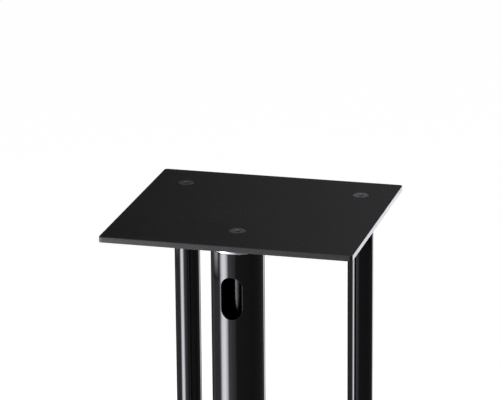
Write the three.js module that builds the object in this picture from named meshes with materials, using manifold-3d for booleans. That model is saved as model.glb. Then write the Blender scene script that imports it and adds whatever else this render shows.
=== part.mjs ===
// A three-column speaker stand: one wide rear column with two slots in its back, two slim front
// columns, a steel top plate and base plate, bright collars between plates and tubes, and levelling spikes.
// Millimetres, +Z up. The origin is on the floor, under the middle of the base plate. The front faces -Y,
// and left and right are as seen from the front, so the right column stands at +X.
import * as THREE from "three";
import { mergeVertices } from "three/addons/utils/BufferGeometryUtils.js";
import Module from "manifold-3d";

const wasm = await Module();
wasm.setup();

// ---- Driving dimensions ----

// Overall
const STAND_HEIGHT = 600; // floor to the top plate's upper face, with the spikes at rest

// Top plate
const TOP_WIDTH = 240;
const TOP_DEPTH = 220;
const TOP_THICKNESS = 5.5;
const TOP_CORNER_RADIUS = 3;

// Base plate
const BASE_WIDTH = 290;
const BASE_DEPTH = 300;
const BASE_THICKNESS = 6;
const BASE_CORNER_RADIUS = 6;
const BASE_FLOOR_CLEARANCE = 24;
const PLATE_EDGE_BREAK = 0.5; // chamfer round every plate edge

// Columns
const MAIN_DIAMETER = 50;
const MAIN_WALL = 2.5;
const MAIN_INSET_REAR = 48; // column axis to the top plate's rear edge
const SLIM_DIAMETER = 25;
const SLIM_WALL = 1.5;
const SLIM_INSET_FRONT = 39.5; // column axes to the top plate's front edge
const SLIM_SPACING = 174; // between the two slim columns' axes
const TUBE_END_BREAK = 0.6;

// Obround slots in the main column's rear
const SLOT_WIDTH = 20;
const SLOT_HEIGHT = 41;
const UPPER_SLOT_DROP = 59; // top plate's upper face to the upper slot's centre
const LOWER_SLOT_RISE = 45; // base plate's upper face to the lower slot's centre

// Collars, the bright rings between the plates and the tubes, each with a spigot inside its tube
const COLLAR_HEIGHT = 10;
const COLLAR_EDGE_BREAK = 0.4;
const SPIGOT_LENGTH = 12;
const SPIGOT_WALL = 5;
const COLLAR_WEB = 5; // solid disc at the plate's end of a wide collar

// Tie bars, which hold each column between the plates
const TIE_BAR_DIAMETER = 12;
const TIE_BAR_SHORTFALL = 2; // at each end, so that the screws clamp the tubes and not the bar
const TAPPED_DEPTH = 22;

// Countersunk screws
const SCREW_DIAMETER = 8;
const SCREW_LENGTH = 20; // overall, head included
const SCREW_HEAD_DIAMETER = 16;
const SCREW_HEAD_LAND = 0.5; // straight rim above the cone
const SCREW_SUNK = 0.3; // head below the plate's face
const SCREW_SOCKET_FLATS = 5;
const SCREW_SOCKET_DEPTH = 3;

// Levelling spikes, their lock nuts and floor discs
const SPIKE_INSET = 22; // spike axes to the base plate's edges
const SPIKE_DIAMETER = 8;
const SPIKE_CONE_LENGTH = 14;
const SPIKE_TIP_DIAMETER = 1.2;
const SPIKE_PROUD = 3; // above the base plate's upper face, at rest
const SPIKE_SOCKET_FLATS = 4;
const SPIKE_SOCKET_DEPTH = 3.5;
const SPIKE_END_BREAK = 0.8;
const NUT_FLATS = 13;
const NUT_HEIGHT = 5;
const DISC_DIAMETER = 28;
const DISC_THICKNESS = 5;
const DISC_DIMPLE_DEPTH = 2.5;
const DISC_DIMPLE_DIAMETER = 9;
const DISC_EDGE_BREAK = 1;

// Fits
const CLEARANCE = 0.3; // radial gap of a loose fit, and the gap between seated cones

// Roundness of the facets
const WIDE_SIDES = 56;
const SLIM_SIDES = 36;
const SMALL_SIDES = 20;
const CORNER_STEPS = 4;
const SLOT_END_STEPS = 12;

// ---- Levels and places worked out from them ----

const topPlateFloor = STAND_HEIGHT - TOP_THICKNESS;
const basePlateFloor = BASE_FLOOR_CLEARANCE;
const basePlateTop = basePlateFloor + BASE_THICKNESS;
const tubeFoot = basePlateTop + COLLAR_HEIGHT;
const tubeHead = topPlateFloor - COLLAR_HEIGHT;

const main = {
  name: "main",
  x: 0,
  y: TOP_DEPTH / 2 - MAIN_INSET_REAR,
  diameter: MAIN_DIAMETER,
  wall: MAIN_WALL,
  sides: WIDE_SIDES,
};
const slimColumns = ["left", "right"].map((name) => ({
  name,
  x: ((name === "left" ? -1 : 1) * SLIM_SPACING) / 2,
  y: SLIM_INSET_FRONT - TOP_DEPTH / 2,
  diameter: SLIM_DIAMETER,
  wall: SLIM_WALL,
  sides: SLIM_SIDES,
}));
const columns = [main, ...slimColumns];

const spikePlaces = [];
for (const [depthName, depthSign] of [["front", -1], ["rear", 1]]) {
  for (const [sideName, sideSign] of [["left", -1], ["right", 1]]) {
    spikePlaces.push({
      name: `${depthName}_${sideName}`,
      x: sideSign * (BASE_WIDTH / 2 - SPIKE_INSET),
      y: depthSign * (BASE_DEPTH / 2 - SPIKE_INSET),
    });
  }
}

// ---- Materials ----

function finish(color, roughness, metalness) {
  return new THREE.MeshStandardMaterial({ color, roughness, metalness });
}

const satinBlackCoat = () => finish(0x17181a, 0.45, 0.0);
const glossBlackPaint = () => finish(0x0b0c0e, 0.08, 0.0);
const polishedAluminium = () => finish(0xd9dadc, 0.18, 1.0);
const brightSteel = () => finish(0xb9bbbe, 0.25, 1.0);
const darkSteel = () => finish(0x7b7c7e, 0.3, 1.0);

// ---- Solids ----

// A geometry as a solid that can be cut or joined.
function solidOf(geometry) {
  const bare = geometry.clone();
  bare.deleteAttribute("normal");
  bare.deleteAttribute("uv");
  const merged = mergeVertices(bare, 1e-4);
  return new wasm.Manifold(
    new wasm.Mesh({
      numProp: 3,
      vertProperties: new Float32Array(merged.getAttribute("position").array),
      triVerts: new Uint32Array(merged.index.array),
    }),
  );
}

function geometryOf(solid) {
  const mesh = solid.getMesh();
  const geometry = new THREE.BufferGeometry();
  geometry.setAttribute("position", new THREE.BufferAttribute(mesh.vertProperties, 3));
  geometry.setIndex(new THREE.BufferAttribute(mesh.triVerts, 1));
  return geometry;
}

// A body with each of the tools cut out of it.
function cut(geometry, tools) {
  let solid = solidOf(geometry);
  for (const tool of tools) {
    solid = solid.subtract(solidOf(tool));
  }
  return geometryOf(solid);
}

// Points [radius, height] turned about the Z axis. They run up the outside, and a ring's profile
// comes back down its bore to the first point.
function turned(points, sides) {
  const profile = points.map(([radius, height]) => new THREE.Vector2(radius, height));
  return new THREE.LatheGeometry(profile, sides).rotateX(Math.PI / 2);
}

function cylinder(diameter, height, sides) {
  const radius = diameter / 2;
  return turned([[0, 0], [radius, 0], [radius, height], [0, height]], sides);
}

// A hexagonal prism standing on z = 0, measured across its flats.
function hexPrism(flats, height) {
  const cornerRadius = flats / Math.sqrt(3);
  const prism = new THREE.CylinderGeometry(cornerRadius, cornerRadius, height, 6);
  return prism.rotateX(Math.PI / 2).translate(0, 0, height / 2);
}

function roundedRectangle(width, depth, radius) {
  const x = width / 2;
  const y = depth / 2;
  const shape = new THREE.Shape();
  shape.moveTo(x, -y + radius);
  shape.absarc(x - radius, y - radius, radius, 0, Math.PI / 2);
  shape.absarc(-x + radius, y - radius, radius, Math.PI / 2, Math.PI);
  shape.absarc(-x + radius, -y + radius, radius, Math.PI, Math.PI * 1.5);
  shape.absarc(x - radius, -y + radius, radius, Math.PI * 1.5, Math.PI * 2);
  return shape;
}

// A flat plate standing on z = 0, its edges broken all round.
function plateBlank(width, depth, thickness, cornerRadius) {
  const outline = roundedRectangle(
    width - 2 * PLATE_EDGE_BREAK,
    depth - 2 * PLATE_EDGE_BREAK,
    cornerRadius - PLATE_EDGE_BREAK,
  );
  const blank = new THREE.ExtrudeGeometry(outline, {
    depth: thickness - 2 * PLATE_EDGE_BREAK,
    bevelThickness: PLATE_EDGE_BREAK,
    bevelSize: PLATE_EDGE_BREAK,
    bevelSegments: 1,
    curveSegments: CORNER_STEPS,
  });
  return blank.translate(0, 0, PLATE_EDGE_BREAK);
}

// A countersunk screw's outline with its head's face at z = 0 and its shank pointing down, grown
// all round by a gap. The hole that takes it is the same outline with the fit's clearance.
function screwOutline(gap, length) {
  const headRadius = SCREW_HEAD_DIAMETER / 2 + gap;
  const shankRadius = SCREW_DIAMETER / 2 + gap;
  const coneDepth = headRadius - shankRadius;
  return [
    [0, -length],
    [shankRadius, -length],
    [shankRadius, -SCREW_HEAD_LAND - coneDepth],
    [headRadius, -SCREW_HEAD_LAND],
  ];
}

function screwSolid() {
  const blank = turned([...screwOutline(0, SCREW_LENGTH), [SCREW_HEAD_DIAMETER / 2, 0], [0, 0]], SMALL_SIDES);
  const socket = hexPrism(SCREW_SOCKET_FLATS, 2 * SCREW_SOCKET_DEPTH).translate(0, 0, -SCREW_SOCKET_DEPTH);
  return cut(blank, [socket]);
}

// The countersunk hole, from beyond the far face to above the near one.
function screwHole(thickness) {
  const headRadius = SCREW_HEAD_DIAMETER / 2 + CLEARANCE;
  const outline = screwOutline(CLEARANCE, 2 * thickness);
  return turned([...outline, [headRadius, thickness], [0, thickness]], SMALL_SIDES);
}

// ---- The pieces ----

const stand = new THREE.Group();

function addPiece(name, geometry, material, x = 0, y = 0, z = 0) {
  const mesh = new THREE.Mesh(geometry, material);
  mesh.name = name;
  mesh.position.set(x, y, z);
  stand.add(mesh);
  return mesh;
}

function topPlate() {
  const blank = plateBlank(TOP_WIDTH, TOP_DEPTH, TOP_THICKNESS, TOP_CORNER_RADIUS);
  const holes = columns.map((column) =>
    screwHole(TOP_THICKNESS).translate(column.x, column.y, TOP_THICKNESS - SCREW_SUNK),
  );
  return cut(blank, holes);
}

function basePlate() {
  const blank = plateBlank(BASE_WIDTH, BASE_DEPTH, BASE_THICKNESS, BASE_CORNER_RADIUS);
  const screwHoles = columns.map((column) =>
    screwHole(BASE_THICKNESS).rotateX(Math.PI).translate(column.x, column.y, SCREW_SUNK),
  );
  const spikeHole = cylinder(SPIKE_DIAMETER + 2 * CLEARANCE, 3 * BASE_THICKNESS, SMALL_SIDES);
  const spikeHoles = spikePlaces.map((place) =>
    spikeHole.clone().translate(place.x, place.y, -BASE_THICKNESS),
  );
  return cut(blank, [...screwHoles, ...spikeHoles]);
}

// A plain tube from z = 0 up to its length, its ends broken outside.
function tubeBlank(column, length) {
  const outer = column.diameter / 2;
  const inner = outer - column.wall;
  return turned(
    [
      [inner, 0],
      [outer - TUBE_END_BREAK, 0],
      [outer, TUBE_END_BREAK],
      [outer, length - TUBE_END_BREAK],
      [outer - TUBE_END_BREAK, length],
      [inner, length],
      [inner, 0],
    ],
    column.sides,
  );
}

// An obround cutter that points along +Y from the column's axis, centred on z = 0.
function slotCutter() {
  const radius = SLOT_WIDTH / 2;
  const straight = SLOT_HEIGHT / 2 - radius;
  const outline = new THREE.Shape();
  outline.moveTo(radius, -straight);
  outline.absarc(0, straight, radius, 0, Math.PI);
  outline.absarc(0, -straight, radius, Math.PI, 2 * Math.PI);
  const reach = MAIN_DIAMETER;
  const cutter = new THREE.ExtrudeGeometry(outline, {
    depth: reach,
    bevelEnabled: false,
    curveSegments: SLOT_END_STEPS,
  });
  return cutter.rotateX(Math.PI / 2).translate(0, reach, 0);
}

function mainColumn(length) {
  const upper = slotCutter().translate(0, 0, STAND_HEIGHT - UPPER_SLOT_DROP - tubeFoot);
  const lower = slotCutter().translate(0, 0, basePlateTop + LOWER_SLOT_RISE - tubeFoot);
  return cut(tubeBlank(main, length), [upper, lower]);
}

// A collar's ring at z = 0 upwards, and below it the spigot that centres the tube.
function collar(column) {
  const outer = column.diameter / 2;
  const spigot = outer - column.wall - CLEARANCE;
  const bore = TIE_BAR_DIAMETER / 2 + CLEARANCE;
  const relief = Math.max(bore, spigot - SPIGOT_WALL);
  const web = COLLAR_HEIGHT - COLLAR_WEB;
  const profile = [
    [relief, -SPIGOT_LENGTH],
    [spigot, -SPIGOT_LENGTH],
    [spigot, 0],
    [outer - COLLAR_EDGE_BREAK, 0],
    [outer, COLLAR_EDGE_BREAK],
    [outer, COLLAR_HEIGHT - COLLAR_EDGE_BREAK],
    [outer - COLLAR_EDGE_BREAK, COLLAR_HEIGHT],
    [bore, COLLAR_HEIGHT],
  ];
  // Inside a wide tube the spigot is a thin skirt below a web, so its bore steps out.
  if (relief > bore) {
    profile.push([bore, web], [relief, web]);
  }
  profile.push([relief, -SPIGOT_LENGTH]);
  return turned(profile, column.sides);
}

// A round bar with a tapped hole in each end.
function tieBar(length) {
  const radius = TIE_BAR_DIAMETER / 2;
  const hole = SCREW_DIAMETER / 2 + CLEARANCE;
  return turned(
    [
      [0, TAPPED_DEPTH],
      [hole, TAPPED_DEPTH],
      [hole, 0],
      [radius, 0],
      [radius, length],
      [hole, length],
      [hole, length - TAPPED_DEPTH],
      [0, length - TAPPED_DEPTH],
    ],
    SMALL_SIDES,
  );
}

function lockNut() {
  const radius = SPIKE_DIAMETER / 2 + CLEARANCE;
  const corner = NUT_FLATS / Math.sqrt(3);
  const breakDepth = corner - NUT_FLATS / 2;
  // The turned blank takes the hexagon's sharp corners off, top and bottom.
  const roundedEnds = turned(
    [
      [0, 0],
      [NUT_FLATS / 2, 0],
      [corner, breakDepth],
      [corner, NUT_HEIGHT - breakDepth],
      [NUT_FLATS / 2, NUT_HEIGHT],
      [0, NUT_HEIGHT],
    ],
    SLIM_SIDES,
  );
  const bore = cylinder(2 * radius, 3 * NUT_HEIGHT, SMALL_SIDES).translate(0, 0, -NUT_HEIGHT);
  const hexagon = solidOf(hexPrism(NUT_FLATS, NUT_HEIGHT));
  return cut(geometryOf(hexagon.intersect(solidOf(roundedEnds))), [bore]);
}

// A pointed levelling spike from its tip at z = 0, with a hexagon socket in its head.
function spike(length) {
  const radius = SPIKE_DIAMETER / 2;
  const blank = turned(
    [
      [0, 0],
      [SPIKE_TIP_DIAMETER / 2, 0],
      [radius, SPIKE_CONE_LENGTH],
      [radius, length - SPIKE_END_BREAK],
      [radius - SPIKE_END_BREAK, length],
      [0, length],
    ],
    SMALL_SIDES,
  );
  const socket = hexPrism(SPIKE_SOCKET_FLATS, 2 * SPIKE_SOCKET_DEPTH).translate(0, 0, length - SPIKE_SOCKET_DEPTH);
  return cut(blank, [socket]);
}

// A floor disc with a dimple for the spike's tip.
function floorDisc() {
  const radius = DISC_DIAMETER / 2;
  const dimpleFloor = DISC_THICKNESS - DISC_DIMPLE_DEPTH;
  return turned(
    [
      [0, 0],
      [radius, 0],
      [radius, DISC_THICKNESS - DISC_EDGE_BREAK],
      [radius - DISC_EDGE_BREAK, DISC_THICKNESS],
      [DISC_DIMPLE_DIAMETER / 2, DISC_THICKNESS],
      [SPIKE_TIP_DIAMETER / 2 + CLEARANCE, dimpleFloor],
      [0, dimpleFloor],
    ],
    SLIM_SIDES,
  );
}

// ---- The assembly ----

addPiece("top_plate", topPlate(), satinBlackCoat(), 0, 0, topPlateFloor);
addPiece("base_plate", basePlate(), satinBlackCoat(), 0, 0, basePlateFloor);

const tubeLength = tubeHead - tubeFoot;
const barFoot = basePlateTop + TIE_BAR_SHORTFALL;
const barLength = topPlateFloor - TIE_BAR_SHORTFALL - barFoot;

for (const column of columns) {
  const { name, x, y } = column;
  const tube = column === main ? mainColumn(tubeLength) : tubeBlank(column, tubeLength);
  addPiece(`${name}_column`, tube, glossBlackPaint(), x, y, tubeFoot);
  addPiece(`${name}_top_collar`, collar(column), polishedAluminium(), x, y, tubeHead);
  const lowerCollar = collar(column).rotateX(Math.PI);
  addPiece(`${name}_bottom_collar`, lowerCollar, polishedAluminium(), x, y, tubeFoot);
  addPiece(`${name}_tie_bar`, tieBar(barLength), darkSteel(), x, y, barFoot);
  addPiece(`${name}_top_screw`, screwSolid(), brightSteel(), x, y, STAND_HEIGHT - SCREW_SUNK);
  const lowerScrew = screwSolid().rotateX(Math.PI);
  addPiece(`${name}_base_screw`, lowerScrew, brightSteel(), x, y, basePlateFloor + SCREW_SUNK);
}

const spikeTip = DISC_THICKNESS - DISC_DIMPLE_DEPTH + CLEARANCE;
const spikeLength = basePlateTop + SPIKE_PROUD - spikeTip;

for (const { name, x, y } of spikePlaces) {
  addPiece(`spike_${name}`, spike(spikeLength), brightSteel(), x, y, spikeTip);
  addPiece(`lock_nut_${name}`, lockNut(), brightSteel(), x, y, basePlateFloor - NUT_HEIGHT);
  addPiece(`floor_disc_${name}`, floorDisc(), brightSteel(), x, y, 0);
}

export default stand;
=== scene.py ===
"""A three-column speaker stand: its coated plates, painted tubes, polished collars and bright fasteners.

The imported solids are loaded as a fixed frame. Each piece here is modelled in the same place, in metres, and
stands for the solid of its name. The front faces -Y, and left and right are as seen from the front.
"""

import math

import bmesh
import bpy
from mathutils import Matrix, Vector


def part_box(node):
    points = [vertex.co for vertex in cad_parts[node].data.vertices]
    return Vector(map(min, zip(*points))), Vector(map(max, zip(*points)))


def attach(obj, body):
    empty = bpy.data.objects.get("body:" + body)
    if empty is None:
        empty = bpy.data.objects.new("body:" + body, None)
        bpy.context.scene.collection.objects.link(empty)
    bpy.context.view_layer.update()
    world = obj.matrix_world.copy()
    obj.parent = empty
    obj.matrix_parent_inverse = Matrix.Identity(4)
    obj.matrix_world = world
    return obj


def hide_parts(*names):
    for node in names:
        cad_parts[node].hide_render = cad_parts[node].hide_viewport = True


bl_info = {
    "name": "Speaker Stand",
    "version": (1, 0, 0),
    "blender": (4, 5, 0),
    "location": "View3D > Sidebar > Stand",
    "description": "Builds a three-column speaker stand piece by piece around its packed solids",
    "category": "Object",
}

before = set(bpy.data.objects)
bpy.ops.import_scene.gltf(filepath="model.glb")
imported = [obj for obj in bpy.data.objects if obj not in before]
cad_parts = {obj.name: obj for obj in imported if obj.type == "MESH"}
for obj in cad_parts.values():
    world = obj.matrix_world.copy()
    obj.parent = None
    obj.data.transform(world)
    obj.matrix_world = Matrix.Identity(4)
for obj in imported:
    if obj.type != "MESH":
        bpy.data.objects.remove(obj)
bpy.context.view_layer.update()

TURN = 2 * math.pi
MM = 0.001

COLUMNS = ("main", "left", "right")
CORNERS = ("front_left", "front_right", "rear_left", "rear_right")

FIT_GAP = 0.3 * MM  # between the solids of pieces that fit into each other
CLOSE = 1e-6  # what lies nearer than this is in the same place
MERGED = 1e-7  # vertices nearer than this become one

# Small rounds, chamfers and fillets that no setting changes
FINE_BREAK = 0.3 * MM
MOUTH_BREAK = 0.5 * MM  # at round and threaded mouths
HOLE_BREAK = 0.12 * MM  # at the mouths of countersunk holes
WEB_BREAK = 0.2 * MM  # inside a wide collar
WEB_FILLET = 0.8 * MM
SOCKET_BREAK = 0.25 * MM
SOCKET_POINT = 0.8 * MM  # of the drill, below a socket's floor
SCREW_TIP = 0.7 * MM
TIP_BREAK = 0.15 * MM  # at a spike's point
DIMPLE_BREAK = 0.35 * MM
DIMPLE_FILLET = 0.2 * MM

# Segments of the rounds: few where the round is smaller than a wide one
FEW_SEGMENTS = 3
MANY_SEGMENTS = 5
WIDE_ROUND = 0.7 * MM
CORNER_SEGMENTS = 8

# Sides of the round pieces, and the rows of vertices up their threads
TUBE_SIDES = 144
MAIN_SIDES = 128
SLIM_SIDES = 96
SCREW_SIDES = 72
BORE_SIDES = 48
SCREW_ROW = 0.125 * MM
SPIKE_ROW = 0.1 * MM
SCREW_NECK = 0.4 * MM  # plain, between a screw's head and its thread
SCREW_RUN_OUT = 1.2 * MM
RUN_OUT = 1.0 * MM  # of the other threads
CROWN_ROWS = 8  # up the chamfered corners of a nut

# The skin round a slot: how far it is cut back past the slot, the rings of faces that fill it by how far they
# stand out past the slot, and the rows beside it
SLOT_MARGIN = 4.0 * MM
SLOT_RINGS = (2.2 * MM, 0.9 * MM, 0.0)
SLOT_ROW = 1.8 * MM
SHARP = math.radians(35)  # edges of the tube that are rounded
NEARLY_ROUND = 0.04 * MM  # how far a vertex of the tube's walls may stray before it is drawn back


# ---- Where the solids stand ----


def middle(node):
    """The middle of a solid's box, seen from above."""
    low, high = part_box(node)
    return (low.x + high.x) / 2, (low.y + high.y) / 2


def levels(node):
    """The lowest and highest level of a solid."""
    low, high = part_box(node)
    return low.z, high.z


def breadth(node):
    """The diameter of a round solid."""
    low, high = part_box(node)
    return high.y - low.y


# ---- Sizes, finishes and studio settings ----


def length_setting(name, description, millimetres):
    return bpy.props.FloatProperty(
        name=name,
        description=description,
        default=millimetres * MM,
        min=0.0,
        precision=4,
        subtype="DISTANCE",
        unit="LENGTH",
    )


def colour_setting(name, description, colour):
    return bpy.props.FloatVectorProperty(
        name=name,
        description=description,
        default=colour,
        min=0.0,
        max=1.0,
        size=3,
        subtype="COLOR",
    )


def share_setting(name, description, share):
    return bpy.props.FloatProperty(name=name, description=description, default=share, min=0.0, max=1.0)


def power_setting(name, description, watts):
    return bpy.props.FloatProperty(name=name, description=description, default=watts, unit="POWER")


class StandSizes(bpy.types.PropertyGroup):
    """Sizes that the solids' boxes don't give."""

    main_wall: length_setting("Main tube wall", "Thickness of the wide tube's wall", 2.5)
    slim_wall: length_setting("Slim tube wall", "Thickness of the slim tubes' walls", 1.5)
    tube_round: length_setting("Tube end round", "Round at the ends of the tubes", 0.6)
    slot_width: length_setting("Slot width", "Width of the obround slots in the wide tube", 20)
    slot_height: length_setting("Slot height", "Height of the obround slots in the wide tube", 41)
    slot_drop: length_setting("Upper slot drop", "Top plate's face down to the upper slot's centre", 59)
    slot_rise: length_setting("Lower slot rise", "Base plate's face up to the lower slot's centre", 45)
    slot_round: length_setting("Slot edge round", "Round on the edges of the slots", 0.45)
    collar_round: length_setting("Collar edge round", "Round on the edges of the collars", 0.4)
    spigot_wall: length_setting("Spigot wall", "Thickness of a wide collar's spigot", 5)
    collar_height: length_setting("Collar height", "Height of a collar between plate and tube", 10)
    collar_web: length_setting("Collar web", "Thickness of the disc inside a wide collar", 5)
    plate_round: length_setting("Plate edge round", "Round along the edges of the plates", 0.5)
    top_corner: length_setting("Top plate corner", "Radius of the top plate's corners", 3)
    base_corner: length_setting("Base plate corner", "Radius of the base plate's corners", 6)
    screw_shank: length_setting("Screw shank", "Diameter of the countersunk screws' shanks", 8)
    screw_land: length_setting("Screw head land", "Straight rim of a countersunk head", 0.5)
    screw_round: length_setting("Screw head round", "Round on the outer edge of a countersunk head", 0.42)
    screw_socket: length_setting("Screw socket", "Screw socket's width across its flats", 5)
    socket_depth: length_setting("Socket depth", "Depth of the screws' sockets", 3)
    tapped_depth: length_setting("Tapped depth", "Depth of the tapped holes in the tie bars", 22)
    thread_pitch: length_setting("Thread pitch", "Rise of the threads in one turn", 1.25)
    thread_depth: length_setting("Thread depth", "Depth of the threads", 0.68)
    spike_cone: length_setting("Spike cone", "Length of a spike's pointed end", 14)
    spike_tip: length_setting("Spike tip", "Diameter of the flat at a spike's tip", 1.2)
    spike_round: length_setting("Spike end break", "Chamfer at a spike's upper end", 0.8)
    spike_socket: length_setting("Spike socket", "Spike socket's width across its flats", 4)
    spike_socket_depth: length_setting("Spike socket depth", "Depth of the spikes' sockets", 3.5)
    dimple_depth: length_setting("Dimple depth", "Depth of a floor disc's dimple", 2.5)
    dimple_width: length_setting("Dimple width", "Diameter of a floor disc's dimple", 9)
    disc_round: length_setting("Disc edge round", "Round on a floor disc's upper edge", 1)


class StandFinishes(bpy.types.PropertyGroup):
    """Colours and gloss of the stand's five finishes."""

    coat: colour_setting("Satin coat", "Colour of the coated plates", (0.0150, 0.0150, 0.0155))
    coat_roughness: share_setting("Satin coat roughness", "Roughness of the coated plates", 0.24)
    paint: colour_setting("Gloss paint", "Colour of the painted tubes", (0.0022, 0.0022, 0.0026))
    paint_roughness: share_setting("Gloss paint roughness", "Roughness of the painted tubes", 0.045)
    collar: colour_setting("Polished metal", "Colour of the collars", (0.86, 0.87, 0.88))
    collar_roughness: share_setting("Polished metal roughness", "Roughness of the collars", 0.11)
    steel: colour_setting("Bright steel", "Colour of the screws, spikes, nuts and discs", (0.62, 0.63, 0.65))
    steel_roughness: share_setting("Bright steel roughness", "Roughness of the bright steel", 0.16)
    bar: colour_setting("Dark steel", "Colour of the tie bars", (0.20, 0.20, 0.21))
    bar_roughness: share_setting("Dark steel roughness", "Roughness of the tie bars", 0.17)


class StudioSettings(bpy.types.PropertyGroup):
    """The floor and the lamps."""

    floor: colour_setting("Floor", "Colour of the plain floor", (0.82, 0.82, 0.82))
    key_power: power_setting("Key lamp", "Power of the key lamp", 10)
    rim_power: power_setting("Rim lamp", "Power of the rim lamp", 8)
    ambient: share_setting("Ambient light", "Strength of the light from all round", 0.45)


# ---- Shader nodes ----


def add(tree, kind, inputs=None, **settings):
    """A node with its settings, and each named or numbered input linked or set."""
    node = tree.nodes.new(kind)
    for key, value in settings.items():
        setattr(node, key, value)
    for key, value in (inputs or {}).items():
        if isinstance(value, bpy.types.NodeSocket):
            tree.links.new(value, node.inputs[key])
        else:
            node.inputs[key].default_value = value
    return node


def sum_up(tree, operation, *values, clamp=False):
    """The result of a Math node on one to three values or sockets."""
    node = add(tree, "ShaderNodeMath", dict(enumerate(values)), operation=operation, use_clamp=clamp)
    return node.outputs[0]


def between(tree, value, low, high, to_low, to_high):
    """A value moved from one range into another, held at its ends."""
    ranges = {"Value": value, "From Min": low, "From Max": high, "To Min": to_low, "To Max": to_high}
    return add(tree, "ShaderNodeMapRange", ranges, clamp=True).outputs["Result"]


def mixed_colour(tree, share, first, second):
    """Two colours mixed by a share."""
    return add(tree, "ShaderNodeMix", {0: share, 6: first, 7: second}, data_type="RGBA").outputs[2]


def mixed_height(tree, share, first, second):
    """Two heights mixed by a share."""
    return add(tree, "ShaderNodeMix", {0: share, 2: first, 3: second}, data_type="FLOAT").outputs[0]


def noise(tree, place, scale, detail, roughness=0.5, line=False):
    """A noise over the surface, or along a line where its place is one distance."""
    inputs = {"W" if line else "Vector": place, "Scale": scale, "Detail": detail, "Roughness": roughness}
    return add(tree, "ShaderNodeTexNoise", inputs, noise_dimensions="1D" if line else "3D").outputs[0]


def cleared_tree(owner):
    """The emptied node tree of a material or a world."""
    owner.use_nodes = True
    owner.node_tree.nodes.clear()
    return owner.node_tree


def show(tree, shader, kind="ShaderNodeOutputMaterial"):
    """Sends a shader to the output of its material or world."""
    output = add(tree, kind)
    tree.links.new(shader, output.inputs["Surface"])


def new_group(name, inputs, outputs):
    """An empty shader group with value inputs (name: default) and value outputs, and its own sockets."""
    group = bpy.data.node_groups.new(name, "ShaderNodeTree")
    for label, default in inputs.items():
        kind = "NodeSocketVector" if isinstance(default, tuple) else "NodeSocketFloat"
        socket = group.interface.new_socket(name=label, in_out="INPUT", socket_type=kind)
        socket.default_value = default
    for label in outputs:
        group.interface.new_socket(name=label, in_out="OUTPUT", socket_type="NodeSocketFloat")
    return group, add(group, "NodeGroupInput").outputs, add(group, "NodeGroupOutput").inputs


def place_group(tree, group, **inputs):
    """The outputs of a group's node in a material, with its own values."""
    labelled = {label.capitalize(): value for label, value in inputs.items()}
    return add(tree, "ShaderNodeGroup", labelled, node_tree=group).outputs


def edge_wear_group():
    """Bright worn specks along the edges: a mask from how far a rounded normal turns off the true one."""
    name = "Stand edge wear"
    if name in bpy.data.node_groups:
        return bpy.data.node_groups[name]
    inputs = {"Place": (0.0, 0.0, 0.0), "Width": 0.0008, "Grain": 900.0, "Amount": 0.5}
    group, given, out = new_group(name, inputs, ["Mask"])
    rounded = add(group, "ShaderNodeBevel", {"Radius": given["Width"]}, samples=4)
    true = add(group, "ShaderNodeNewGeometry")
    normals = {0: rounded.outputs[0], 1: true.outputs["Normal"]}
    turned_off = add(group, "ShaderNodeVectorMath", normals, operation="DOT_PRODUCT")
    edge = between(group, turned_off.outputs["Value"], 0.985, 0.86, 0.0, 1.0)
    speck = between(group, noise(group, given["Place"], given["Grain"], 4.0, 0.6), 0.5, 0.66, 0.0, 1.0)
    worn = sum_up(group, "MULTIPLY", edge, speck)
    group.links.new(sum_up(group, "MULTIPLY", worn, given["Amount"], clamp=True), out["Mask"])
    return group


def coat_grain_group():
    """The fine grain of a sprayed coat, the faint cloudy variation of its gloss, and specks of dust."""
    name = "Stand coat grain"
    if name in bpy.data.node_groups:
        return bpy.data.node_groups[name]
    inputs = {"Place": (0.0, 0.0, 0.0), "Grain": 1800.0, "Ripple": 260.0, "Cloud": 18.0}
    group, given, out = new_group(name, inputs, ["Height", "Cloud", "Speck"])
    place = given["Place"]
    fine = noise(group, place, given["Grain"], 3.0, 0.55)
    ripple = noise(group, place, given["Ripple"], 1.0, 0.4)
    group.links.new(mixed_height(group, 0.45, fine, ripple), out["Height"])
    cloud = noise(group, place, given["Cloud"], 5.0, 0.62)
    group.links.new(between(group, cloud, 0.3, 0.7, 0.0, 1.0), out["Cloud"])
    spread = sum_up(group, "MULTIPLY", given["Ripple"], 0.8)
    dust = add(group, "ShaderNodeTexVoronoi", {"Vector": place, "Scale": spread}, feature="F1")
    group.links.new(between(group, dust.outputs["Distance"], 0.03, 0.09, 1.0, 0.0), out["Speck"])
    return group


def turning_group():
    """Fine rings left by turning, counted along the turned profile, with a few deeper ones among them."""
    name = "Stand turning marks"
    if name in bpy.data.node_groups:
        return bpy.data.node_groups[name]
    group, given, out = new_group(name, {"Place": (0.0, 0.0, 0.0), "Rings": 9000.0}, ["Height", "Shade"])
    along = add(group, "ShaderNodeAttribute", attribute_type="GEOMETRY", attribute_name="turned")
    drift = sum_up(group, "MULTIPLY", noise(group, given["Place"], 35.0, 1.0), 0.00006)
    path = sum_up(group, "ADD", along.outputs["Fac"], drift)
    group.links.new(noise(group, path, given["Rings"], 3.0, 0.65, line=True), out["Height"])
    broad = noise(group, path, sum_up(group, "MULTIPLY", given["Rings"], 0.17), 2.0, line=True)
    group.links.new(between(group, broad, 0.3, 0.7, 0.0, 1.0), out["Shade"])
    return group


# ---- Finishes ----

DUST_COLOUR = (0.3, 0.29, 0.28, 1.0)
BRIGHT_WEAR = (0.93, 0.93, 0.94, 1.0)


def opaque(colour):
    return (colour[0], colour[1], colour[2], 1.0)


def shaded(colour, *factors):
    """A colour made lighter or darker, by one factor or by one for each channel."""
    if len(factors) == 1:
        factors = factors * 3
    return opaque([min(1.0, channel * factor) for channel, factor in zip(colour, factors)])


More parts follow.
